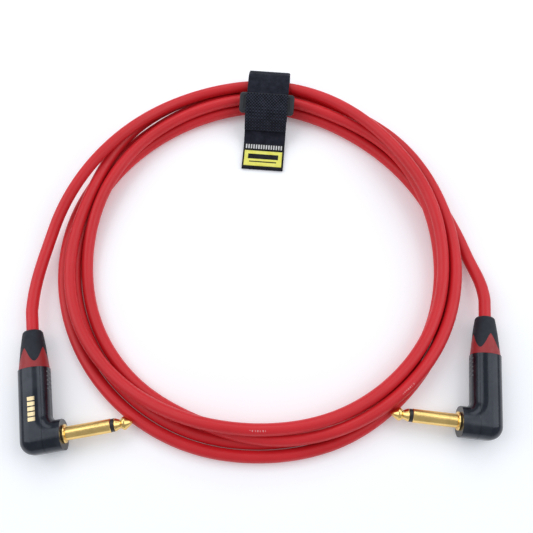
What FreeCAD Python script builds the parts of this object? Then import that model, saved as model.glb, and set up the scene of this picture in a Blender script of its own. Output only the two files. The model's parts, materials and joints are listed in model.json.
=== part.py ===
import FreeCAD, Part
import math
import os
from FreeCAD import Placement, Rotation, Vector

# Mono instrument cable, hand coiled, with a slim right-angle 6.35 mm plug at each end
# and a hook-and-loop cinch strap round the bundle.  Millimetres, +Z up, lying on z = 0.
# The origin is the middle of the footprint; +X runs from the left plug to the right one.

# ---------------------------------------------------------------- driving dimensions
# Cable, from the outside in.
JACKET_DIA = 5.7
SCREEN_DIA = 4.6
DIELECTRIC_DIA = 3.6
CORE_DIA = 1.2
BALL_RADIUS = JACKET_DIA / 2 + 0.1   # the ball that each tail bends about
BALL_GAP = 0.1           # the coiled run stops this far short of that ball

# Coil: its centre, and the angular step between the places where the lay is given.
COIL_CENTRE = (3.34, -10.94)
LAY_STEP = 22.5
PIPE_PIECES = 18         # the coiled run is swept in this many pieces, end to end

# Right-angle plug, measured from its elbow, where the shaft line meets the cable line.
SHAFT_DIA = 6.35
SHOULDER_REACH = 12.0    # to the shoulder of the shell, along the shaft
SLEEVE_LENGTH = 21.3     # shoulder to the insulating ring
RING_LENGTH = 1.5
TIP_LENGTH = 8.3
SHELL_HALF_WIDTH = 6.95
SHELL_HALF_DEPTH = 7.1
SHELL_TOP = 31.4         # to the end of the shell under the coding ring
BOOT_TOP = 50.2          # to the mouth of the boot
SEAM = 4.4               # the two halves of the shell part in this plane
FIT = 0.06               # radial play of parts that slide or turn in one another

# Strap, in its own directions: across its width, and along it towards the coil centre.
STRAP_WIDTH = 22.5
WEB = 1.2                # thickness of one layer of webbing
STRAP_PIVOT = 88.0       # distance of the strap's own centre from the coil centre
STRAP_SKEW = -4.7        # turn of the strap about that point, degrees

# Each lap of the coil runs clockwise from the left.  A pair is the distance of the
# strand from the coil's centre and its height, one pair per LAY_STEP.  The strands
# ride over one another, lift over the strap at 90 degrees and rest on the ground.
# The lay is written for a strand LAY_STRAND across; another strand packs closer or
# wider about LAY_MIDDLE, and lower or higher.
LAY_STRAND = 6.0
LAY_MIDDLE = 92.0
LEFT_BEND = (170.5, 110.8, 8.4)      # angle, distance and height where the left tail leaves
RIGHT_BEND = (4.7, 101.9, 3.6)
LAY = [
    [(108.0, 12.8), (105.2, 15.0), (107.3, 10.0), (105.8, 11.3), (100.2, 13.5),
     (92.8, 15.7), (89.2, 15.5), (87.0, 11.0), (84.7, 9.8), (82.0, 9.8),
     (80.3, 11.8), (79.9, 14.1), (82.6, 13.6), (88.2, 9.7), (94.4, 9.5)],
    [(97.6, 9.5), (99.8, 9.0), (106.1, 8.7), (110.6, 4.4), (109.0, 5.1), (104.2, 4.5),
     (100.4, 7.9), (96.4, 9.4), (94.0, 9.4), (91.6, 9.4), (88.6, 9.4), (86.2, 9.1),
     (84.0, 9.2), (81.8, 6.9), (84.1, 3.5), (87.3, 3.5)],
    [(90.2, 4.2), (93.2, 8.3), (96.7, 9.3), (98.2, 9.1), (97.4, 10.3), (94.0, 9.4),
     (93.2, 9.2), (88.9, 9.3), (86.8, 4.6), (85.3, 3.1), (84.1, 3.1), (84.6, 3.1),
     (85.0, 3.1), (87.4, 3.1), (90.3, 3.1), (93.5, 3.1)],
    [(96.6, 3.1), (97.2, 3.1), (96.0, 3.1), (95.2, 3.7), (94.2, 5.1), (91.3, 3.7),
     (90.1, 3.1), (91.4, 3.1), (93.0, 3.1), (91.5, 3.1), (90.3, 3.1), (90.8, 3.1),
     (91.2, 3.1), (93.6, 3.1), (96.5, 3.1), (99.7, 3.1)],
    [(102.8, 3.1), (103.9, 3.1), (102.8, 3.1), (104.1, 3.7), (102.7, 5.1), (97.8, 3.9),
     (96.2, 3.1), (97.6, 3.1)],
]

# Plugs as they lie: elbow relative to the coil's centre, turn about Z, and whether the
# plug is rolled over about its cable so that the shaft points the other way.
LEFT_PLUG = ((-103.2, -83.7), 10.0, False)
RIGHT_PLUG = ((99.5, -77.35), -6.7, True)
LEFT_SCREWED = 20.0      # where each boot came to rest on its thread, degrees
RIGHT_SCREWED = -37.0

X = Vector(1, 0, 0)
Y = Vector(0, 1, 0)
Z = Vector(0, 0, 1)
CENTRE = Vector(COIL_CENTRE[0], COIL_CENTRE[1], 0)

os.makedirs("parts", exist_ok=True)


def save(name, shape):
    """Write one named piece."""
    shape.exportStep("parts/" + name + ".step")


# ---------------------------------------------------------------- small helpers
def tube(outer, inner, start, end, direction):
    """A round tube about an axis through the origin, between two distances along it."""
    solid = Part.makeCylinder(outer, end - start, direction * start, direction)
    if inner > 0:
        solid = solid.cut(Part.makeCylinder(inner, end - start, direction * start, direction))
    return solid


def turned(points, direction):
    """Turn a closed outline of (distance along the axis, radius) pairs about the axis."""
    outline = [direction * along + Z * radius for along, radius in points]
    face = Part.Face(Part.makePolygon(outline + outline[:1]))
    return face.revolve(Vector(), direction, 360)


def block(low, high):
    """A box between two corners."""
    size = [b - a for a, b in zip(low, high)]
    return Part.makeBox(size[0], size[1], size[2], Vector(*low))


# ---------------------------------------------------------------- cable
def on_coil(angle, distance, height):
    """The point at an angle about the coil's centre, packed for this strand."""
    a = math.radians(angle)
    packing = JACKET_DIA / LAY_STRAND
    reach = LAY_MIDDLE + (distance - LAY_MIDDLE) * packing
    return CENTRE + Vector(reach * math.cos(a), reach * math.sin(a), height * packing)


def coil_curve():
    """Centreline of the coiled run, from the left bend to the right bend."""
    points = [on_coil(*LEFT_BEND)]
    angle = 180.0
    for lap in LAY:
        for distance, height in lap:
            if len(points) == 1:
                angle = 180.0 - LAY_STEP
            points.append(on_coil(angle, distance, height))
            angle -= LAY_STEP
    points.append(on_coil(*RIGHT_BEND))
    curve = Part.BSplineCurve()
    curve.interpolate(points)
    return curve


def plug_placement(plug):
    """Where a plug built at the origin goes: elbow at z of its half depth."""
    (x, y), turn, rolled = plug
    roll = Rotation(Y, 180 if rolled else 0)
    return Placement(CENTRE + Vector(x, y, SHELL_HALF_DEPTH), Rotation(Z, turn).multiply(roll))


def ring_face(outer, inner, place, direction):
    """A disc or a ring square to a path."""
    face = Part.Face(Part.Wire(Part.makeCircle(outer, place, direction)))
    if inner > 0:
        face = face.cut(Part.Face(Part.Wire(Part.makeCircle(inner, place, direction))))
        face = face.Faces[0]
    return face


def swept(path, outer, inner):
    """Sweep a ring along a path."""
    first = path.Edges[0]
    place = first.valueAt(first.FirstParameter)
    direction = first.tangentAt(first.FirstParameter)
    return path.makePipe(ring_face(outer, inner, place, direction))


def layer_radii():
    """Name, outer radius and inner radius of the cable's four layers."""
    jacket, screen, dielectric, core = [
        d / 2 for d in (JACKET_DIA, SCREEN_DIA, DIELECTRIC_DIA, CORE_DIA)]
    return [("jacket", jacket, screen), ("screen", screen, dielectric),
            ("dielectric", dielectric, core), ("core", core, 0)]


def coiled_run(curve):
    """The four layers of the coiled run, cut square just short of both bend balls."""
    trim = BALL_RADIUS + BALL_GAP
    first = curve.parameterAtDistance(trim, curve.FirstParameter)
    last = curve.parameterAtDistance(-trim, curve.LastParameter)
    joints = [first + (last - first) * number / PIPE_PIECES for number in range(PIPE_PIECES + 1)]
    path = Part.Wire([curve.toShape(a, b) for a, b in zip(joints, joints[1:])])
    for name, outer, inner in layer_radii():
        save("coil_" + name, swept(path, outer, inner))


def tail(side, bend, direction, plug):
    """The four layers of a tail, from its bend ball to where each is stripped."""
    place = plug_placement(plug)
    along = place.Rotation.multVec(Y)
    straight_from = place.Base + along * (BOOT_TOP + 7.0)
    ends = {"jacket": 24.0, "screen": 20.0, "dielectric": 15.0, "core": 9.0}
    curve = Part.BSplineCurve()
    reach = (straight_from - bend).Length
    curve.interpolate(Points=[bend, straight_from], Tangents=[direction * reach, along * -reach],
                      TangentFlags=[True, True])
    for name, outer, inner in layer_radii():
        stop = place.Base + along * ends[name]
        start = 0.0 if name == "jacket" else BALL_RADIUS + 0.05
        first = curve.parameterAtDistance(start, curve.FirstParameter)
        bent = curve.toShape(first, curve.LastParameter)
        path = Part.Wire([bent, Part.makeLine(straight_from, stop)])
        layer = swept(path, outer, inner)
        if name == "jacket":
            layer = layer.fuse(Part.makeSphere(BALL_RADIUS, bend))
        save(side + "_tail_" + name, layer)


# ---------------------------------------------------------------- plug shell
SHELL_ROUND = 6.0        # rounding of the long edges of the shell
OUTER_CORNER = 6.5
INNER_CORNER = 2.6
GROOVES = 5
GROOVE_PITCH = 2.0


def shell_blank():
    """The closed outer form of the shell, an L with rounded edges."""
    left = -SHELL_HALF_WIDTH
    right = SHELL_HALF_WIDTH
    low = -SHELL_HALF_DEPTH
    end = SHOULDER_REACH
    arm = SHELL_HALF_DEPTH - 0.4
    bow = OUTER_CORNER * (1 - math.sqrt(0.5))
    dip = INNER_CORNER * (1 - math.sqrt(0.5))
    outer_arc = Part.Arc(Vector(left, low + OUTER_CORNER, 0), Vector(left + bow, low + bow, 0),
                         Vector(left + OUTER_CORNER, low, 0)).toShape()
    inner_arc = Part.Arc(Vector(right + INNER_CORNER, arm, 0), Vector(right + dip, arm + dip, 0),
                         Vector(right, arm + INNER_CORNER, 0)).toShape()
    corners = [Vector(left + OUTER_CORNER, low, 0), Vector(end, low, 0), Vector(end, arm, 0),
               Vector(right + INNER_CORNER, arm, 0)]
    lines = [Part.makeLine(a, b) for a, b in zip(corners, corners[1:])]
    column = [Vector(right, arm + INNER_CORNER, 0), Vector(right, SHELL_TOP, 0),
              Vector(left, SHELL_TOP, 0), Vector(left, low + OUTER_CORNER, 0)]
    lines_up = [Part.makeLine(a, b) for a, b in zip(column, column[1:])]
    outline = Part.Wire([outer_arc] + lines + [inner_arc] + lines_up)
    slab = Part.Face(outline).extrude(Z * (2 * SHELL_HALF_DEPTH))
    slab.translate(Z * -SHELL_HALF_DEPTH)
    long_edges = []
    for edge in slab.Edges:
        middle = edge.valueAt((edge.FirstParameter + edge.LastParameter) / 2)
        flat = abs(abs(middle.z) - SHELL_HALF_DEPTH) < 0.01
        open_end = middle.y > SHELL_TOP - 0.01 or middle.x > SHOULDER_REACH - 0.01
        if flat and not open_end:
            long_edges.append(edge)
    return slab.makeFillet(SHELL_ROUND, long_edges)


def shell_halves():
    """The elbow half and the back cover, hollowed and parted at the seam."""
    blank = shell_blank()
    throat = tube(5.0 + FIT, 0, 20.0, SHELL_TOP, Y)
    chamber = tube(5.9, 0, -3.4, 20.0, Y)
    arm_bore = tube(4.45, 0, 0.0, SHOULDER_REACH - 3.4, X)
    outlet = tube(4.0 + 0.03, 0, SHOULDER_REACH - 3.4, SHOULDER_REACH, X)
    shell = blank
    for hollow in (throat, chamber, arm_bore, outlet):
        shell = shell.cut(hollow)
    for number in range(GROOVES):
        y = SHELL_TOP - 2.2 - number * GROOVE_PITCH
        for side in (-1, 1):
            groove = Part.makeCylinder(0.55, 20, Vector(side * (SHELL_HALF_WIDTH + 0.15), y, -10), Z)
            shell = shell.cut(groove)
    half_gap = 0.05
    front = shell.common(block((SEAM + half_gap, -10, -10), (20, 40, 10)))
    back = shell.common(block((-10, -10, -10), (SEAM - half_gap, 40, 10)))
    return front, back


# ---------------------------------------------------------------- boot, ring and chuck
BOOT_BASE_RADIUS = 6.9
BOOT_MOUTH_RADIUS = 4.6
RING_BAND = 2.8          # height of the coding ring below its waves
WAVE_HEIGHT = 7.6
WAVES = 4


def boot_outline():
    """Outside of the boot and ring together: (height, radius) pairs, base to mouth."""
    base = SHELL_TOP + 0.15
    return [(base, BOOT_BASE_RADIUS), (base + RING_BAND, BOOT_BASE_RADIUS - 0.35),
            (base + RING_BAND + WAVE_HEIGHT, 5.75), (BOOT_TOP - 3.0, 5.0),
            (BOOT_TOP - 0.7, BOOT_MOUTH_RADIUS), (BOOT_TOP, BOOT_MOUTH_RADIUS - 0.6)]


def wave_cutters(extra):
    """Four radial cutters that leave the waves of the ring; extra widens what they leave."""
    floor = SHELL_TOP + 0.15 + RING_BAND
    shape = [(-4.5, 1.0), (-3.3, 0.69), (-1.75, 0.21), (0, 0), (1.75, 0.21), (3.3, 0.69), (4.5, 1.0)]
    points = [Vector(across * (1 - extra / 4.5), floor + rise * WAVE_HEIGHT + extra, 0)
              for across, rise in shape]
    curve = Part.BSplineCurve()
    curve.interpolate(points)
    top = floor + WAVE_HEIGHT + 2
    rim = [points[-1], Vector(points[-1].x, top, 0), Vector(points[0].x, top, 0), points[0]]
    lines = [Part.makeLine(a, b) for a, b in zip(rim, rim[1:])]
    cutter = Part.Face(Part.Wire([curve.toShape()] + lines)).extrude(Z * 9)
    cutters = []
    for number in range(WAVES):
        copy = cutter.copy()
        copy.rotate(Vector(), Y, number * 360 / WAVES)
        cutters.append(copy)
    return cutters


def boot_and_ring():
    """The boot with its threaded neck, and the wavy coding ring let into its base."""
    outside = boot_outline()
    base = outside[0][0]
    full = turned([(base, 0)] + outside + [(BOOT_TOP, 0)], Y)
    crown = base + RING_BAND + WAVE_HEIGHT

    def band(inset, grow, low, high):
        """A conical band under the outside of the boot."""
        outer = [(low, BOOT_BASE_RADIUS + grow), (base + RING_BAND, BOOT_BASE_RADIUS - 0.35 + grow),
                 (high, 5.75 + grow)]
        inner = [(high, 5.75 - inset), (base + RING_BAND, BOOT_BASE_RADIUS - 0.35 - inset),
                 (low, BOOT_BASE_RADIUS - 0.35 - inset)]
        return turned(outer + inner, Y)

    ring = band(0.8, 0.0, base, crown - 0.35)
    for cutter in wave_cutters(0.0):
        ring = ring.cut(cutter)
    seat = band(0.84, 1.0, base - 0.01, crown - 0.31)
    for cutter in wave_cutters(0.04):
        seat = seat.cut(cutter)
    boot = full.cut(seat)
    boot = boot.fuse(tube(5.0, 0, 25.0, base + 0.5, Y))
    boot = boot.cut(tube(4.35, 0, 25.0, 41.5, Y))
    boot = boot.cut(turned([(41.5, 0), (41.5, 4.35), (44.0, 3.35), (44.0, 0)], Y))
    boot = boot.cut(tube(JACKET_DIA / 2 + 0.1, 0, 44.0, BOOT_TOP, Y))
    return boot.removeSplitter(), ring


def chuck():
    """Collet that the boot closes on to the jacket: four slotted jaws on a collar."""
    inner = JACKET_DIA / 2 + FIT
    body = turned([(25.2, inner), (25.2, 4.25), (41.2, 4.25), (43.2, 3.45), (43.2, inner)], Y)
    for number in range(2):
        slot = block((-0.4, 30.0, -6), (0.4, 45.0, 6))
        slot.rotate(Vector(), Y, 45 + number * 90)
        body = body.cut(slot)
    return body


# ---------------------------------------------------------------- contacts and insulators
def contacts():
    """Everything on the shaft line, from the elbow chamber to the tip."""
    radius = SHAFT_DIA / 2
    ring_from = SHOULDER_REACH + SLEEVE_LENGTH
    tip_from = ring_from + RING_LENGTH
    tip_end = tip_from + TIP_LENGTH
    bore = 1.9
    rod = 0.9
    collar_from = SHOULDER_REACH + 0.05
    sleeve = turned([
        (6.0, bore), (6.0, 4.0), (collar_from, 4.0), (collar_from, 4.1), (collar_from + 0.5, 4.3),
        (collar_from + 1.0, 4.1), (collar_from + 1.3, radius), (ring_from - 0.2, radius),
        (ring_from, radius - 0.2), (ring_from, bore)], X)
    ring = tube(radius - 0.225, rod + 0.05, ring_from + 0.02, tip_from - 0.02, X)
    liner = tube(bore - 0.05, rod + 0.05, 6.0, ring_from, X)
    tip_outline = [
        (-0.5, 0), (-0.5, rod), (tip_from, rod), (tip_from, 2.7), (tip_from + 0.5, 2.95),
        (tip_from + 1.0, 2.75), (tip_from + 2.5, 2.05), (tip_from + 2.9, 2.1),
        (tip_from + 3.9, 2.9), (tip_from + 4.5, 3.08), (tip_from + 5.1, 2.95),
        (tip_from + 7.2, 1.5), (tip_from + 7.9, 0.9), (tip_end, 0.4), (tip_end, 0)]
    tip = turned(tip_outline, X)
    carrier = turned([(1.0, rod + 0.05), (1.0, 2.6), (2.6, 2.6), (2.6, 4.35), (5.3, 4.35),
                      (5.3, rod + 0.05)], X)
    ground = tube(3.9, 2.0, 5.4, 5.9, X).fuse(block((5.0, 3.0, -1.5), (5.5, 12.0, 1.5)))
    ground = ground.cut(carrier)
    tag = block((-1.2, -1.4, -1.3), (-0.6, 10.0, 1.3))
    return {"sleeve_contact": sleeve, "insulating_ring": ring, "insulating_tube": liner,
            "tip_contact": tip, "insert_carrier": carrier, "ground_tag": ground,
            "tip_tag": tag.cut(tip)}


def solder(pieces):
    """Two solder joints: core to tip tag, and screen to ground tag."""
    core = tube(CORE_DIA / 2, 0, 9.0, 30.0, Y)
    screen = tube(SCREEN_DIA / 2, 0, 20.0, 30.0, Y)
    tip_joint = Part.makeSphere(1.15, Vector(-0.5, 9.6, 0)).cut(core).cut(pieces["tip_tag"])
    wire = Part.makeCylinder(0.5, 10.0, Vector(4.3, 11.0, 0), Vector(-1.8, 10, 0))
    ground_joint = Part.makeSphere(1.1, Vector(4.3, 11.0, 0)).fuse(wire)
    ground_joint = ground_joint.cut(pieces["ground_tag"]).cut(screen)
    return Part.makeCompound([tip_joint, ground_joint])


def build_plug(side, plug, screwed):
    """All the pieces of one plug, put where that plug lies."""
    place = plug_placement(plug)
    front, back = shell_halves()
    boot, ring = boot_and_ring()
    boot.rotate(Vector(), Y, screwed)
    ring.rotate(Vector(), Y, screwed)
    pieces = contacts()
    pieces["solder_joints"] = solder(pieces)
    pieces.update({"shell_front": front, "shell_back": back, "boot": boot, "coding_ring": ring,
                   "chuck": chuck()})
    for name, shape in pieces.items():
        shape.Placement = place.multiply(shape.Placement)
        save(side + "_" + name, shape)


def skin_height(x):
    """Height of the shell's broad face above the shaft line, at a distance across it."""
    past_flat = max(abs(x) - (SHELL_HALF_WIDTH - SHELL_ROUND), 0)
    return SHELL_HALF_DEPTH - SHELL_ROUND + math.sqrt(SHELL_ROUND ** 2 - past_flat ** 2)


def owner_mark(plug):
    """Five plain raised bars on the back cover of one plug, bent over its rounding."""
    across = [-1.3, -0.95, 0.95, 1.4, 1.9]
    under = [Vector(x, 6.9, skin_height(x) + 0.02) for x in across]
    over = [Vector(x, 6.9, skin_height(x) + 0.09) for x in across]
    outline = under + over[::-1]
    bar = Part.Face(Part.makePolygon(outline + outline[:1])).extrude(Y * 1.75)
    bars = [bar.translated(Y * (2.3 * number)) for number in range(5)]
    mark = Part.makeCompound(bars)
    mark.Placement = plug_placement(plug)
    save("left_mark", mark)


# ---------------------------------------------------------------- strap
RING_TILT = 25.0         # the cinch ring leans down towards the coil's centre
RING_MIDDLE = (89.8, 15.6)
RING_SIZE = (29.5, 11.0)
RING_BAR = 2.4
RING_THICK = 2.0
RING_ROUND = 0.8
LABEL_THICK = 0.35
PATCH_THICK = 0.2


def strap_place(shape):
    """Turn a strap piece about the strap's own centre and move it to the coil."""
    shape = shape.copy()
    shape.rotate(Vector(0, STRAP_PIVOT, 0), Z, STRAP_SKEW)
    shape.translate(CENTRE)
    return shape


def web(points, thick, width, lift=0.0):
    """A layer that follows a line of (distance, height) points, or lies above that line."""
    centre = [Vector(0, y, z) for y, z in points]
    upper = []
    lower = []
    for number, point in enumerate(centre):
        before = centre[max(number - 1, 0)]
        after = centre[min(number + 1, len(centre) - 1)]
        run = (after - before).normalize()
        up = Vector(0, -run.z, run.y)
        if up.z < 0:
            up = up * -1
        upper.append(point + up * (lift + thick / 2))
        lower.append(point + up * (lift - thick / 2))
    outline = upper + lower[::-1]
    face = Part.Face(Part.makePolygon(outline + outline[:1]))
    solid = face.extrude(X * width)
    solid.translate(X * (-width / 2))
    return solid


def strap_loop():
    """The closed turn of webbing round the bundle."""
    inside = [(89.4, WEB), (114.0, WEB), (114.0, 6.5), (111.6, 13.2), (107.2, 16.2), (102.0, 16.0),
              (95.5, 14.6), (91.4, 11.6), (89.4, 8.0)]
    points = [Vector(0, y, z) for y, z in inside]
    hole = Part.Wire(Part.makePolygon(points + points[:1]))
    rim = hole.makeOffset2D(WEB)
    band = Part.Face(rim).extrude(X * STRAP_WIDTH)
    band = band.cut(Part.Face(hole).extrude(X * STRAP_WIDTH))
    band.translate(X * (-STRAP_WIDTH / 2))
    return band


def cinch_ring():
    """Flat oblong ring, lying on the turn of webbing."""
    length, width = RING_SIZE
    ring = block((-length / 2, -width / 2, -RING_THICK / 2), (length / 2, width / 2, RING_THICK / 2))
    opening = block((-STRAP_WIDTH / 2 - 0.8, -width / 2 + RING_BAR, -5),
                    (STRAP_WIDTH / 2 + 0.8, width / 2 - RING_BAR, 5))
    upright = [edge for edge in ring.Edges if abs(edge.tangentAt(edge.FirstParameter).z) > 0.9]
    ring = ring.makeFillet(2.0, upright).cut(opening)
    rims = [edge for edge in ring.Edges if edge.BoundBox.ZLength < 0.01]
    ring = ring.makeFillet(RING_ROUND, rims)
    ring.rotate(Vector(), X, RING_TILT)
    ring.translate(Vector(0, RING_MIDDLE[0], RING_MIDDLE[1]))
    return ring


def build_strap():
    """Turn of webbing, cinch ring, folded flap, free tail and its woven label."""
    flap_line = [(93.4, 19.38), (85.0, 15.75), (82.2, 13.3), (79.2, 8.7), (78.3, 7.3)]
    tail_line = [(93.75, 15.55), (90.5, 14.0), (85.0, 11.2), (78.5, 5.6), (73.5, 2.4), (69.0, 1.1),
                 (58.0, 0.75)]
    save("strap_loop", strap_place(strap_loop()))
    save("cinch_ring", strap_place(cinch_ring()))
    save("strap_flap", strap_place(web(flap_line, WEB, STRAP_WIDTH)))
    save("strap_tail", strap_place(web(tail_line, WEB, STRAP_WIDTH)))
    label_lift = WEB / 2 + 0.02 + LABEL_THICK / 2
    label = web(tail_line[4:], LABEL_THICK, STRAP_WIDTH - 0.6, label_lift)
    label = label.common(block((-20, 58.3, -5), (20, 72.4, 20)))
    patch_lift = label_lift + LABEL_THICK / 2 + 0.02 + PATCH_THICK / 2
    patch = web(tail_line[4:], PATCH_THICK, STRAP_WIDTH - 2.0, patch_lift)
    patch = patch.common(block((-20, 59.4, -5), (20, 68.6, 20)))
    save("strap_label", strap_place(label))
    save("label_patch", strap_place(patch))


coil_line = coil_curve()
coiled_run(coil_line)
build_plug("left", LEFT_PLUG, LEFT_SCREWED)
build_plug("right", RIGHT_PLUG, RIGHT_SCREWED)
owner_mark(LEFT_PLUG)
start = coil_line.value(coil_line.FirstParameter)
start_direction = coil_line.tangent(coil_line.FirstParameter)[0] * -1
tail("left", start, start_direction, LEFT_PLUG)
finish = coil_line.value(coil_line.LastParameter)
finish_direction = coil_line.tangent(coil_line.LastParameter)[0]
tail("right", finish, finish_direction, RIGHT_PLUG)
build_strap()
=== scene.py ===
import json
import math

import bpy
import numpy as np
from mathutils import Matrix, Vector


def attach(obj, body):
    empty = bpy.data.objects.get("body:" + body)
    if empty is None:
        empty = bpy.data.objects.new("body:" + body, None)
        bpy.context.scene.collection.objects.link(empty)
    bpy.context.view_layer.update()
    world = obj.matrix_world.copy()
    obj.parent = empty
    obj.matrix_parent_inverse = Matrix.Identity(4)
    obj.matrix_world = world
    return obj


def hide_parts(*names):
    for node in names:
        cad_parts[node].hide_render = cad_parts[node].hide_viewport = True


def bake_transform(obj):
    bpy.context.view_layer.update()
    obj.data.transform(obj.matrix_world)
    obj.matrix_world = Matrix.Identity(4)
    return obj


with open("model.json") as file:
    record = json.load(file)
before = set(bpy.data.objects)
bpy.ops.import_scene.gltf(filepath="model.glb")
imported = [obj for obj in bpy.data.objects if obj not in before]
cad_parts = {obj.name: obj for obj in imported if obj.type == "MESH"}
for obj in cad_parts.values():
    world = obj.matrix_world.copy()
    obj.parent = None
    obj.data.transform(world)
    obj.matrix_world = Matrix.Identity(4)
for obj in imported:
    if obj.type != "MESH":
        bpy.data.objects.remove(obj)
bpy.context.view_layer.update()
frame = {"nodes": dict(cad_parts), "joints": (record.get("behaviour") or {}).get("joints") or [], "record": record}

MM = 0.001
JOINTS = {joint["name"]: joint for joint in frame["joints"]}


# ------------------------------------------------------------------ node materials
class Shader:
    """A Principled material and short calls for the nodes that feed it."""

    def __init__(self, name, **settings):
        self.material = bpy.data.materials.new(name)
        self.material.use_nodes = True
        self.tree = self.material.node_tree
        self.bsdf = self.tree.nodes["Principled BSDF"]
        self.out = self.tree.nodes["Material Output"]
        for key, value in settings.items():
            self.set(key.replace("_", " "), value)

    def set(self, socket, value):
        """Give a Principled input a value, or a link from another node."""
        self.put(self.bsdf.inputs[socket], value)

    def put(self, target, value):
        if isinstance(value, bpy.types.NodeSocket):
            self.tree.links.new(value, target)
        elif isinstance(value, (tuple, list)) and len(value) == 3 and target.type == "RGBA":
            target.default_value = (*value, 1.0)
        else:
            target.default_value = value

    def node(self, kind, inputs=None, **properties):
        made = self.tree.nodes.new(kind)
        for key, value in properties.items():
            setattr(made, key, value)
        for key, value in (inputs or {}).items():
            self.put(made.inputs[key], value)
        return made

    def place(self):
        """Position on the piece, in metres."""
        return self.node("ShaderNodeTexCoord").outputs["Object"]

    def stretched(self, scale):
        """Position on the piece, scaled differently along each axis."""
        return self.node("ShaderNodeMapping", {"Vector": self.place(), "Scale": scale}).outputs[0]

    def attribute(self, name):
        return self.node("ShaderNodeAttribute", attribute_name=name).outputs["Fac"]

    def math(self, operation, a, b=0.0):
        return self.node("ShaderNodeMath", {0: a, 1: b}, operation=operation).outputs[0]

    def noise(self, scale, detail=3.0, roughness=0.55, vector=None):
        return self.node("ShaderNodeTexNoise", {"Vector": vector or self.place(), "Scale": scale,
                                                "Detail": detail, "Roughness": roughness}).outputs["Fac"]

    def ramp(self, value, stops):
        """Map 0..1 to colours: stops are (position, colour)."""
        ramp = self.node("ShaderNodeValToRGB", {"Fac": value})
        points = ramp.color_ramp.elements
        while len(points) < len(stops):
            points.new(0.5)
        for point, (position, colour) in zip(points, stops):
            point.position = position
            point.color = (*colour, 1.0)
        return ramp.outputs["Color"]

    def between(self, value, low, high, low_to, high_to):
        return self.node("ShaderNodeMapRange", {"Value": value, 1: low, 2: high, 3: low_to,
                                                4: high_to}).outputs[0]

    def mix(self, factor, a, b):
        mixed = self.node("ShaderNodeMix", data_type="RGBA")
        self.put(mixed.inputs["Factor"], factor)
        self.put(mixed.inputs[6], a)
        self.put(mixed.inputs[7], b)
        return mixed.outputs[2]

    def bump(self, height, distance, strength=1.0, normal=None):
        inputs = {"Height": height, "Distance": distance, "Strength": strength}
        if normal is not None:
            inputs["Normal"] = normal
        return self.node("ShaderNodeBump", inputs).outputs[0]


def jacket_material():
    """Satin red PVC with a faint drawn grain and a line of small printed ticks."""
    s = Shader("jacket_pvc", IOR=1.46)
    tone = s.noise(35.0, 2.0)
    red = s.ramp(tone, [(0.35, (0.60, 0.014, 0.020)), (0.65, (0.66, 0.018, 0.026))])
    along = s.attribute("along")
    around = s.attribute("around")
    tick = s.math("LESS_THAN", s.math("FRACT", s.math("DIVIDE", along, 1.15)), 0.45)
    group = s.math("LESS_THAN", s.math("FRACT", s.math("DIVIDE", along, 530.0)), 0.014)
    band = s.math("LESS_THAN", s.math("ABSOLUTE", s.math("SUBTRACT", around, 0.30)), 0.022)
    worn = s.math("GREATER_THAN", s.noise(900.0, 1.0), 0.42)
    ink = s.math("MULTIPLY", s.math("MULTIPLY", tick, group), s.math("MULTIPLY", band, worn))
    ink = s.math("MULTIPLY", ink, s.attribute("printed"))
    s.set("Base Color", s.mix(s.math("MULTIPLY", ink, 0.55), red, (0.80, 0.55, 0.55)))
    s.set("Roughness", s.between(s.noise(260.0, 4.0), 0.3, 0.7, 0.36, 0.47))
    s.set("Specular IOR Level", 0.45)
    s.set("Subsurface Weight", 0.06)
    s.set("Subsurface Radius", (0.0020, 0.0005, 0.0004))
    s.set("Normal", s.bump(s.noise(1500.0, 3.0), 0.00002, 0.35))
    return s.material


def shell_material():
    """Black painted die casting, semi-gloss, with orange-peel and lighter worn edges."""
    s = Shader("shell_black")
    tone = s.noise(60.0, 3.0)
    black = s.ramp(tone, [(0.3, (0.004, 0.005, 0.009)), (0.7, (0.008, 0.010, 0.016))])
    edge = s.node("ShaderNodeNewGeometry").outputs["Pointiness"]
    wear = s.math("MULTIPLY", s.between(edge, 0.53, 0.60, 0.0, 1.0), s.between(tone, 0.45, 0.75, 0.0, 1.0))
    s.set("Base Color", s.mix(s.math("MULTIPLY", wear, 0.35), black, (0.12, 0.125, 0.14)))
    s.set("Roughness", s.between(s.noise(420.0, 4.0), 0.3, 0.7, 0.15, 0.24))
    s.set("Specular IOR Level", 0.50)
    s.set("Specular Tint", (0.82, 0.88, 1.0))
    s.set("Normal", s.bump(s.noise(1400.0, 3.0), 0.00003, 0.4))
    return s.material


def boot_material():
    """Matt black elastomer with a fine spark-eroded texture."""
    s = Shader("boot_black")
    s.set("Base Color", s.ramp(s.noise(90.0), [(0.3, (0.011, 0.013, 0.018)), (0.7, (0.019, 0.022, 0.029))]))
    s.set("Roughness", s.between(s.noise(500.0), 0.3, 0.7, 0.50, 0.66))
    s.set("Specular IOR Level", 0.34)
    s.set("Specular Tint", (0.84, 0.89, 1.0))
    s.set("Normal", s.bump(s.noise(2600.0, 4.0, 0.7), 0.00005, 0.5))
    return s.material


def ring_material():
    """Dark red moulded plastic."""
    s = Shader("ring_red")
    s.set("Base Color", s.ramp(s.noise(120.0), [(0.3, (0.300, 0.014, 0.018)), (0.7, (0.36, 0.020, 0.024))]))
    s.set("Roughness", s.between(s.noise(600.0), 0.3, 0.7, 0.40, 0.55))
    s.set("Normal", s.bump(s.noise(2600.0, 4.0, 0.7), 0.00004, 0.5))
    return s.material


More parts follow.
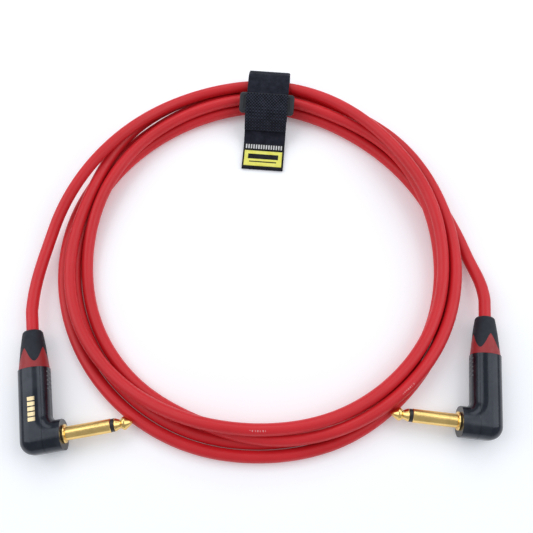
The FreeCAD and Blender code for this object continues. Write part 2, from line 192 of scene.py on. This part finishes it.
def gold_material(name, rough, colour=(0.93, 0.66, 0.25)):
    """Gold plating with fine turning marks and slight stains."""
    s = Shader(name, Metallic=1.0)
    stain = s.noise(160.0, 4.0)
    darker = tuple(c * 0.86 for c in colour)
    s.set("Base Color", s.ramp(stain, [(0.35, darker), (0.6, colour)]))
    turned = s.noise(1.0, 2.0, vector=s.stretched((3000.0, 400.0, 400.0)))
    s.set("Roughness", s.between(turned, 0.3, 0.7, rough, rough + 0.10))
    s.set("Normal", s.bump(turned, 0.00001, 0.25))
    return s.material


def plain_material(name, colour, rough, metallic=0.0, grain=0.00003):
    """Moulded plastic or bare metal for the pieces inside the plugs."""
    s = Shader(name, Metallic=metallic)
    lighter = tuple(min(1.0, c * 1.15 + 0.004) for c in colour)
    s.set("Base Color", s.ramp(s.noise(150.0), [(0.3, colour), (0.7, lighter)]))
    s.set("Roughness", s.between(s.noise(500.0), 0.3, 0.7, rough, rough + 0.12))
    s.set("Normal", s.bump(s.noise(1800.0), grain, 0.5))
    return s.material


def fabric_material(name, dark, light, thread, rough=0.9, sheen=0.06, weave_and_groove_shade=0.18):
    """Woven tape: crossing threads across and along the strip, in millimetres; the weave tone is a thread pattern,
    and at high contrast it is also painted shade in the grooves.
    """
    s = Shader(name)
    across = s.attribute("across")
    along = s.attribute("along")
    warp = s.math("SINE", s.math("MULTIPLY", across, 2 * math.pi / thread))
    weft = s.math("SINE", s.math("MULTIPLY", along, 2 * math.pi / thread))
    weave = s.math("MULTIPLY", warp, weft)
    fuzz = s.noise(1800.0, 5.0, 0.7)
    height = s.math("ADD", s.math("MULTIPLY", weave, 0.5), fuzz)
    # painted shade: the weave term darkens the colour in a crossing pattern at the thread pitch; on the ribbed
    # flap it is strong and stands for the shade in the grooves between ribs
    tone = s.math("ADD", s.math("MULTIPLY", weave, weave_and_groove_shade), s.noise(300.0, 4.0))
    s.set("Base Color", s.ramp(tone, [(0.3, dark), (0.75, light)]))
    s.set("Roughness", rough)
    s.set("Sheen Weight", sheen)
    s.set("Sheen Roughness", 0.5)
    s.set("Specular IOR Level", 0.25)
    s.set("Normal", s.bump(height, 0.00012, 0.8))
    return s.material


RIB_PITCH = 1.62          # of the flap's cross ribs, in millimetres

RED = jacket_material()
SHELL = shell_material()
BOOT = boot_material()
RING = ring_material()
GOLD = gold_material("gold_plate", 0.16, (0.96, 0.66, 0.24))
GOLD_MARK = gold_material("gold_print", 0.32, (0.86, 0.70, 0.42))
BLACK = plain_material("insulator_black", (0.012, 0.012, 0.013), 0.30)
CREAM = plain_material("chuck_plastic", (0.62, 0.60, 0.54), 0.45)
WHITE = plain_material("insulation", (0.78, 0.78, 0.75), 0.50)
COPPER = plain_material("copper", (0.72, 0.34, 0.20), 0.30, 1.0)
TINNED = plain_material("tinned_brass", (0.62, 0.61, 0.58), 0.28, 1.0)
SOLDER = plain_material("solder", (0.56, 0.56, 0.57), 0.35, 1.0)
CINCH = plain_material("cinch_plastic", (0.014, 0.017, 0.022), 0.42)
PILE = fabric_material("webbing", (0.006, 0.007, 0.014), (0.022, 0.024, 0.040), 0.55, sheen=0.03)
# ribbed flap: a very dark low tone and high weave contrast give painted shade in the grooves between its cross
# ribs
RIBBED_PAINTED_SHADE = fabric_material("webbing_ribbed_painted_shade", (0.002, 0.003, 0.006), (0.030, 0.033, 0.052),
                         RIB_PITCH, sheen=0.02, weave_and_groove_shade=0.55)
LABEL = fabric_material("label_weave", (0.008, 0.008, 0.009), (0.022, 0.022, 0.025), 0.40)
PATCH = fabric_material("patch_yellow", (0.92, 0.88, 0.12), (1.0, 0.98, 0.26), 0.35, 0.7)
THREAD = fabric_material("thread", (0.62, 0.62, 0.62), (0.82, 0.82, 0.82), 0.30)

SLOT_MATERIALS = {
    "jacket_pvc": RED, "copper": COPPER, "insulation": WHITE, "shell_black": SHELL,
    "boot_black": BOOT, "ring_red": RING, "chuck_plastic": CREAM, "gold_plate": GOLD,
    "gold_print": GOLD_MARK, "insulator_black": BLACK, "tinned_brass": TINNED, "solder": SOLDER,
    "cinch_plastic": CINCH, "webbing": PILE, "label_weave": LABEL, "patch_yellow": PATCH}


def dress_cad_nodes():
    """Give every CAD node the procedural material of its slot."""
    for part in frame["record"]["subparts"]:
        piece = frame["nodes"][part["node"]]
        piece.data.materials.clear()
        piece.data.materials.append(SLOT_MATERIALS[part["material_slot"]])


# ------------------------------------------------------------------ mesh helpers
def make_piece(name, vertices, faces, material, attributes=None, smooth=True):
    """A mesh object from plain lists, with optional per-vertex values for its material."""
    mesh = bpy.data.meshes.new(name)
    mesh.from_pydata([tuple(v) for v in vertices], [], [tuple(f) for f in faces])
    mesh.update()
    for key, values in (attributes or {}).items():
        layer = mesh.attributes.new(key, "FLOAT", "POINT")
        layer.data.foreach_set("value", np.asarray(values, np.float32))
    mesh.materials.append(material)
    mesh.polygons.foreach_set("use_smooth", [smooth] * len(mesh.polygons))
    piece = bpy.data.objects.new(name, mesh)
    bpy.context.scene.collection.objects.link(piece)
    return piece


def resampled(points, step):
    """Points along a smooth curve through the given points, evenly spaced."""
    points = np.asarray(points, float)
    ends = [2 * points[0] - points[1]], [2 * points[-1] - points[-2]]
    padded = np.concatenate([ends[0], points, ends[1]])
    dense = []
    for a, b, c, d in zip(padded, padded[1:], padded[2:], padded[3:]):
        for t in np.linspace(0, 1, 12, endpoint=False):
            dense.append(0.5 * (2 * b + (c - a) * t + (2 * a - 5 * b + 4 * c - d) * t ** 2
                                + (3 * b - a - 3 * c + d) * t ** 3))
    dense.append(points[-1])
    dense = np.array(dense)
    run = np.concatenate([[0], np.cumsum(np.linalg.norm(np.diff(dense, axis=0), axis=1))])
    count = max(2, int(round(run[-1] / step)) + 1)
    marks = np.linspace(0, run[-1], count)
    return np.stack([np.interp(marks, run, dense[:, k]) for k in range(3)], axis=1), marks


def smoothed(points, rounds):
    """Average each point with its neighbours, ends held."""
    for _ in range(rounds):
        points[1:-1] = 0.25 * points[:-2] + 0.5 * points[1:-1] + 0.25 * points[2:]
    return points


# ------------------------------------------------------------------ cable
CABLE_RADIUS = 2.85 * MM
CORE_RADIUS = 0.6 * MM
CABLE_SIDES = 32
CABLE_STEP = 1.6 * MM
BEND_REACH = 13.0 * MM    # the tail bends over this length each side of its joint


def core_centres(node):
    """Centreline points of a cable core: each vertex moved in by the core's radius."""
    mesh = frame["nodes"][node].data
    co = np.array([v.co for v in mesh.vertices])
    normal = np.array([v.normal for v in mesh.vertices])
    return co - normal * CORE_RADIUS


def walk(cloud, start, direction, reach=11.0 * MM):
    """Follow a strand through a cloud of centreline points, from a start and a direction."""
    path = [np.array(start, float)]
    heading = np.array(direction, float)
    while True:
        offset = cloud - path[-1]
        ahead = offset @ heading
        aside = np.linalg.norm(offset - ahead[:, None] * heading, axis=1)
        near = (ahead > 1.2 * MM) & (ahead < reach) & (aside < 0.35 * ahead + 0.3 * MM)
        if not near.any():
            return np.array(path)
        first = ahead[near].min()
        chosen = near & (ahead < first + 0.9 * MM)
        step = cloud[chosen].mean(axis=0)
        heading = (step - path[-1]) / np.linalg.norm(step - path[-1])
        path.append(step)


def tube_piece(name, line, marks, printed):
    """A round jacket along a centreline, with lengthwise and round-about coordinates."""
    tangent = np.gradient(line, axis=0)
    tangent /= np.linalg.norm(tangent, axis=1)[:, None]
    side = np.cross(tangent[0], (0, 0, 1.0))
    side /= np.linalg.norm(side)
    angles = np.linspace(0, 2 * math.pi, CABLE_SIDES, endpoint=False)
    vertices = []
    along = []
    around = []
    for place, forward, mark in zip(line, tangent, marks):
        side = side - forward * (side @ forward)
        side /= np.linalg.norm(side)
        up = np.cross(side, forward)
        for angle in angles:
            vertices.append(place + CABLE_RADIUS * (math.cos(angle) * side + math.sin(angle) * up))
            along.append(mark / MM)
            around.append(angle / (2 * math.pi))
    faces = []
    rings = len(line)
    for ring in range(rings - 1):
        for k in range(CABLE_SIDES):
            after = (k + 1) % CABLE_SIDES
            faces.append((ring * CABLE_SIDES + k, ring * CABLE_SIDES + after,
                          (ring + 1) * CABLE_SIDES + after, (ring + 1) * CABLE_SIDES + k))
    for ring, order in ((0, -1), (rings - 1, 1)):
        base = len(vertices)
        rim = slice(ring * CABLE_SIDES, (ring + 1) * CABLE_SIDES)
        vertices += vertices[rim]
        along += along[rim]
        around += around[rim]
        faces.append(tuple(range(base, base + CABLE_SIDES))[::order])
    piece = make_piece(name, vertices, faces, RED,
                       {"along": along, "around": around, "printed": [printed] * len(along)})
    return piece


def build_cable():
    """One continuous jacket: the coiled run, and a tail that bends into each plug."""
    bends = [np.array(JOINTS[s + "_tail_swing"]["pos_m"]) for s in ("left", "right")]
    tails = {}
    for side, bend in zip(("left", "right"), bends):
        cloud = core_centres(side + "_tail_core")
        nearest = cloud[np.argmin(np.linalg.norm(cloud - bend, axis=1))]
        heading = (nearest - bend) / np.linalg.norm(nearest - bend)
        tails[side] = walk(cloud, bend, heading, 60 * MM)
    cloud = core_centres("coil_core")
    away = bends[0] - tails["left"][1]
    coil = walk(cloud, bends[0], away / np.linalg.norm(away))
    whole = np.concatenate([tails["left"][:0:-1], coil[:-1], [bends[1]], tails["right"][1:]])
    line, marks = resampled(whole, CABLE_STEP)
    line = smoothed(line, 6)
    cuts = [int(np.argmin(np.linalg.norm(line - bend, axis=1))) for bend in bends]
    margin = int(round((BEND_REACH + 6 * MM) / CABLE_STEP))
    first, last = cuts[0] + margin, cuts[1] - margin
    coil_piece = tube_piece("cable_coil", line[first:last + 1], marks[first:last + 1], 1.0)
    left = tube_piece("cable_tail_left", line[:first + 1], marks[:first + 1], 0.0)
    right = tube_piece("cable_tail_right", line[last:], marks[last:], 1.0)
    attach(coil_piece, "coil")
    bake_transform(left)
    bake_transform(right)
    layers = ("jacket", "screen", "dielectric", "core")
    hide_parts(*["coil_" + layer for layer in layers])
    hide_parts(*["left_tail_" + layer for layer in layers])
    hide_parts(*["right_tail_" + layer for layer in layers])


# ------------------------------------------------------------------ strap
WEB = 1.2 * MM            # thickness of one layer of webbing
LABEL_THICK = 0.35 * MM
PATCH_THICK = 0.2 * MM
SOFTENING = 1.2 * MM      # length over which a layer's folds are rounded
SELVEDGE = 10.6           # the weave fades out from here to the edge, in millimetres
RING_TILT = math.radians(25.0)
BAR_TO_RING_MIDDLE = 4.3 * MM
CHEEK_REACH = 4.6 * MM
CHEEK_THICK = 1.6 * MM


class StrapFrame:
    """The strap's own directions: across its width, along it away from the coil, and up."""

    def __init__(self):
        lift = JOINTS["strap_flap_lift"]
        self.across = -Vector(lift["axis"]).normalized()
        self.up = Vector((0, 0, 1))
        self.along = self.up.cross(self.across)
        self.bar = Vector(lift["pos_m"])
        self.origin = Vector((self.bar.x, self.bar.y, 0))

    def local(self, node):
        """A node's vertices as (across, along, up) rows."""
        turn = np.array([self.across, self.along, self.up])
        points = np.array([v.co for v in frame["nodes"][node].data.vertices])
        return (points - np.array(self.origin)) @ turn.T

    def world(self, across, along, up):
        return self.origin + self.across * across + self.along * along + self.up * up


def side_outline(strap, node):
    """The (along, up) corners of a layer's side face, each once."""
    rows = strap.local(node)
    edge = rows[:, 0].max()
    side = rows[rows[:, 0] > edge - 0.05 * MM][:, 1:]
    return np.unique(np.round(side / (0.01 * MM)), axis=0) * 0.01 * MM, edge


def layer_line(strap, node, thick):
    """Middle line of a flat layer, and half its width."""
    corners, half = side_outline(strap, node)
    middles = []
    for index, corner in enumerate(corners):
        gap = np.linalg.norm(corners - corner, axis=1)
        for other in np.nonzero(np.abs(gap - thick) < 0.03 * MM)[0]:
            if other > index:
                middles.append((corner + corners[other]) / 2)
    middles = np.array(sorted(middles, key=lambda point: -point[0]))
    return middles, half


def ribbon(strap, name, line, half, thick, material, relief=None, step=0.3 * MM, crosswise=64,
           closed=False, lift=0.0):
    """A strip of fabric along a line of (along, up) points, with a soft relief on both faces."""
    line = np.asarray(line, float)
    if closed:
        line = np.concatenate([line, line[:1]])
    run = np.concatenate([[0], np.cumsum(np.linalg.norm(np.diff(line, axis=0), axis=1))])
    count = max(8, int(run[-1] / step))
    marks = np.linspace(0, run[-1], count + 1)
    path = np.stack([np.interp(marks, run, line[:, k]) for k in range(2)], axis=1)
    if closed:
        path = path[:-1]
        marks = marks[:-1]
    rounds = int((SOFTENING / step) ** 2)
    for _ in range(rounds):
        if closed:
            path = 0.25 * np.roll(path, 1, axis=0) + 0.5 * path + 0.25 * np.roll(path, -1, axis=0)
        else:
            path[1:-1] = 0.25 * path[:-2] + 0.5 * path[1:-1] + 0.25 * path[2:]
    if closed:
        forward = np.roll(path, -1, axis=0) - np.roll(path, 1, axis=0)
    else:
        forward = np.gradient(path, axis=0)
    forward /= np.linalg.norm(forward, axis=1)[:, None]
    normal = np.stack([forward[:, 1], -forward[:, 0]], axis=1)
    flat = 1 - thick / 4 / half
    upper = [(max(-flat, min(flat, -1 + 2 * k / crosswise)), 1.0) for k in range(crosswise + 1)]
    section = [(-1.0, 0.0)] + upper + [(1.0, 0.0)] + [(across, -1.0) for across, _ in upper[::-1]]
    vertices = []
    across_mm = []
    along_mm = []
    for place, side, mark in zip(path, normal, marks):
        for across, face in section:
            rise = lift + face * thick / 2
            if relief is not None and face != 0.0:
                rise += face * relief(across * half / MM, mark / MM, face)
            point = place + side * rise
            vertices.append(strap.world(across * half, point[0], point[1]))
            across_mm.append(across * half / MM)
            along_mm.append(mark / MM)
    size = len(section)
    rings = len(path)
    faces = []
    for ring in range(rings if closed else rings - 1):
        after = (ring + 1) % rings
        for k in range(size):
            right = (k + 1) % size
            faces.append((ring * size + k, ring * size + right, after * size + right, after * size + k))
    if not closed:
        faces.append(tuple(range(size))[::-1])
        faces.append(tuple((rings - 1) * size + k for k in range(size)))
    return make_piece(name, vertices, faces, material, {"across": across_mm, "along": along_mm})


def inner_corners(corners):
    """Corners of the opening of a band: the outer outline bends round each at one thickness."""
    found = []
    for corner in corners:
        gap = np.linalg.norm(corners - corner, axis=1)
        if (np.abs(gap - WEB) < 0.02 * MM).sum() >= 2:
            found.append(corner)
    found = np.array(found)
    middle = found.mean(axis=0)
    order = np.argsort(np.arctan2(found[:, 1] - middle[1], found[:, 0] - middle[0]))
    return found[order]


def grown(polygon, distance):
    """A convex polygon offset outwards, with round corners, counter-clockwise."""
    points = []
    count = len(polygon)
    for index in range(count):
        before = polygon[index] - polygon[index - 1]
        after = polygon[(index + 1) % count] - polygon[index]
        first = math.atan2(-before[0], before[1])
        last = math.atan2(-after[0], after[1])
        turn = (last - first) % (2 * math.pi)
        for share in np.linspace(0, 1, 6):
            angle = first + turn * share
            points.append(polygon[index] + distance * np.array((math.cos(angle), math.sin(angle))))
    return np.array(points)


def ribs(across, along, face):
    """Cross ribs of the flap's woven face, flat at the selvedges."""
    selvedge = min(1.0, max(0.0, (SELVEDGE - abs(across)) / 0.7))
    fade = min(1.0, max(0.0, (along - 5.0) / 3.0))
    bar = 0.20 * math.cos(2 * math.pi * along / RIB_PITCH) * fade
    chevron = 0.05 * math.cos(2 * math.pi * (along / 0.95 + abs((across / 2.2) % 2 - 1)))
    return (bar + chevron * (1 - 0.6 * fade)) * selvedge * MM


def pile(across, along, face):
    """Slanting rows of the loop fabric."""
    selvedge = min(1.0, max(0.0, (SELVEDGE - abs(across)) / 0.7))
    row = math.cos(2 * math.pi * (along / 1.0 + abs((across / 2.2) % 2 - 1)))
    return 0.06 * row * selvedge * MM


def plaque(strap, name, line, spans, lift, thick, material):
    """Small flat bars lying on a layer: each span is (across, across, along, along) in metres."""
    line = np.asarray(line)[::-1]
    vertices = []
    faces = []
    for low, high, near, far in spans:
        base = len(vertices)
        for along in (near, far):
            height = np.interp(along, line[:, 0], line[:, 1])
            for across in (low, high):
                for rise in (lift, lift + thick):
                    vertices.append(strap.world(across, along, height + rise))
        for quad in ((0, 1, 3, 2), (4, 6, 7, 5), (0, 4, 5, 1), (2, 3, 7, 6), (1, 5, 7, 3), (0, 2, 6, 4)):
            faces.append(tuple(base + k for k in quad))
    return make_piece(name, vertices, faces, material, smooth=False)


def ring_cheeks(strap):
    """Two plates that close the cinch ring's opening beside the webbing."""
    slope = np.array((math.cos(RING_TILT), math.sin(RING_TILT)))
    middle = np.array((0.0, strap.bar.z)) - BAR_TO_RING_MIDDLE * slope
    line = [middle + CHEEK_REACH * slope, middle - CHEEK_REACH * slope]
    near, far = middle[0] - 3.9 * MM, middle[0] + 3.9 * MM
    inner, outer = 11.1 * MM, 12.4 * MM
    spans = [(inner, outer, near, far), (-outer, -inner, near, far)]
    return plaque(strap, "cinch_ring_cheeks", line, spans, -CHEEK_THICK / 2, CHEEK_THICK, CINCH)


def build_strap():
    """Webbing turn, folded flap, tail, woven label with its plain marks, and ring cheeks."""
    strap = StrapFrame()
    corners, half = side_outline(strap, "strap_loop")
    turn_line = grown(inner_corners(corners), WEB / 2)
    turn = ribbon(strap, "strap_turn", turn_line, half, WEB, PILE, pile, closed=True)
    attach(turn, "strap")
    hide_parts("strap_loop")

    flap_line, half = layer_line(strap, "strap_flap", WEB)
    flap = ribbon(strap, "strap_flap_web", flap_line, half, WEB, RIBBED_PAINTED_SHADE, ribs, step=0.2 * MM)
    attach(flap, "strap_flap")
    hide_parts("strap_flap")

    tail_line, half = layer_line(strap, "strap_tail", WEB)
    tail = ribbon(strap, "strap_tail_web", tail_line, half, WEB, PILE, pile)
    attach(tail, "strap")
    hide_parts("strap_tail")

    label_line, half = layer_line(strap, "strap_label", LABEL_THICK)
    label = ribbon(strap, "strap_label_web", label_line, half, LABEL_THICK, LABEL, step=0.4 * MM)
    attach(label, "strap")
    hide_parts("strap_label")

    patch_line, half = layer_line(strap, "label_patch", PATCH_THICK)
    patch = ribbon(strap, "label_patch_web", patch_line, half, PATCH_THICK, PATCH, step=0.4 * MM)
    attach(patch, "strap")
    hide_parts("label_patch")

    cheeks = ring_cheeks(strap)
    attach(cheeks, "strap")

    near, far = patch_line[:, 0].min(), patch_line[:, 0].max()
    length = far - near
    bars = [(-0.80 * half, 0.80 * half, near + 0.46 * length, near + 0.78 * length),
            (-0.72 * half, 0.72 * half, near + 0.24 * length, near + 0.31 * length)]
    ink = plaque(strap, "patch_bars", patch_line, bars, PATCH_THICK / 2, 0.06 * MM, LABEL)
    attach(ink, "strap")
    ticks = []
    for number in range(15):
        across = (number - 7) * 1.36 * MM
        ticks.append((across - 0.36 * MM, across + 0.36 * MM, far + 1.2 * MM, far + 3.4 * MM))
    marks = plaque(strap, "label_ticks", label_line, ticks, LABEL_THICK / 2, 0.08 * MM, THREAD)
    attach(marks, "strap")


# ------------------------------------------------------------------ stage, light, camera
FLOOR_HALF = 3.0
FLOOR_DROP = 0.1 * MM     # the floor lies this far below the object
CAMERA_ELEVATION = math.radians(69.0)
CAMERA_DISTANCE = 311.7 * MM
SENSOR_WIDTH = 36.0
FOCAL_RATIO = 610.0 / 533.0   # focal length over the width of the view


def area_light(name, place, target, size, power, colour=(1, 1, 1)):
    data = bpy.data.lights.new(name, "AREA")
    data.shape = "RECTANGLE"
    data.size, data.size_y = size
    data.energy = power
    data.color = colour
    light = bpy.data.objects.new(name, data)
    bpy.context.scene.collection.objects.link(light)
    light.location = place
    light.rotation_euler = (Vector(target) - Vector(place)).to_track_quat("-Z", "Y").to_euler()
    return light


def build_stage(middle):
    """Pale floor, soft even light from both sides, and the camera."""
    s = Shader("floor", Base_Color=(0.94, 0.95, 0.97), Roughness=0.8, Emission_Strength=0.14)
    s.set("Specular IOR Level", 0.1)
    s.set("Emission Color", s.ramp(s.noise(4.0), [(0.3, (0.93, 0.95, 1.0)), (0.7, (0.96, 0.97, 1.0))]))
    around = ((-1, -1), (1, -1), (1, 1), (-1, 1))
    corners = [(x * FLOOR_HALF, y * FLOOR_HALF, -FLOOR_DROP) for x, y in around]
    floor = make_piece("floor", corners, [(0, 1, 2, 3)], s.material, smooth=False)
    world = bpy.data.worlds.new("studio")
    bpy.context.scene.world = world
    world.use_nodes = True
    background = world.node_tree.nodes["Background"]
    background.inputs["Color"].default_value = (0.88, 0.93, 1.0, 1.0)
    background.inputs["Strength"].default_value = 0.46
    x, y, _ = middle
    area_light("left_softbox", (x - 0.70, y + 0.10, 0.70), (x, y, 0), (0.8, 0.9), 3.5)
    area_light("right_softbox", (x + 0.70, y + 0.10, 0.70), (x, y, 0), (0.8, 0.9), 3.5)
    area_light("back_softbox", (x, y + 0.70, 0.75), (x, y, 0), (0.9, 0.5), 2.2)
    data = bpy.data.cameras.new("camera")
    data.sensor_width = SENSOR_WIDTH
    data.lens = SENSOR_WIDTH * FOCAL_RATIO
    camera = bpy.data.objects.new("camera", data)
    bpy.context.scene.collection.objects.link(camera)
    target = Vector(middle) + Vector((0, 2.0 * MM, 0))
    away = Vector((0, -math.cos(CAMERA_ELEVATION), math.sin(CAMERA_ELEVATION)))
    camera.location = target + CAMERA_DISTANCE * away
    camera.rotation_euler = (target - camera.location).to_track_quat("-Z", "Y").to_euler()
    bpy.context.scene.camera = camera
    bpy.context.scene.view_settings.view_transform = "Standard"


dress_cad_nodes()
build_cable()
build_strap()
build_stage(JOINTS["strap_slide"]["pos_m"])
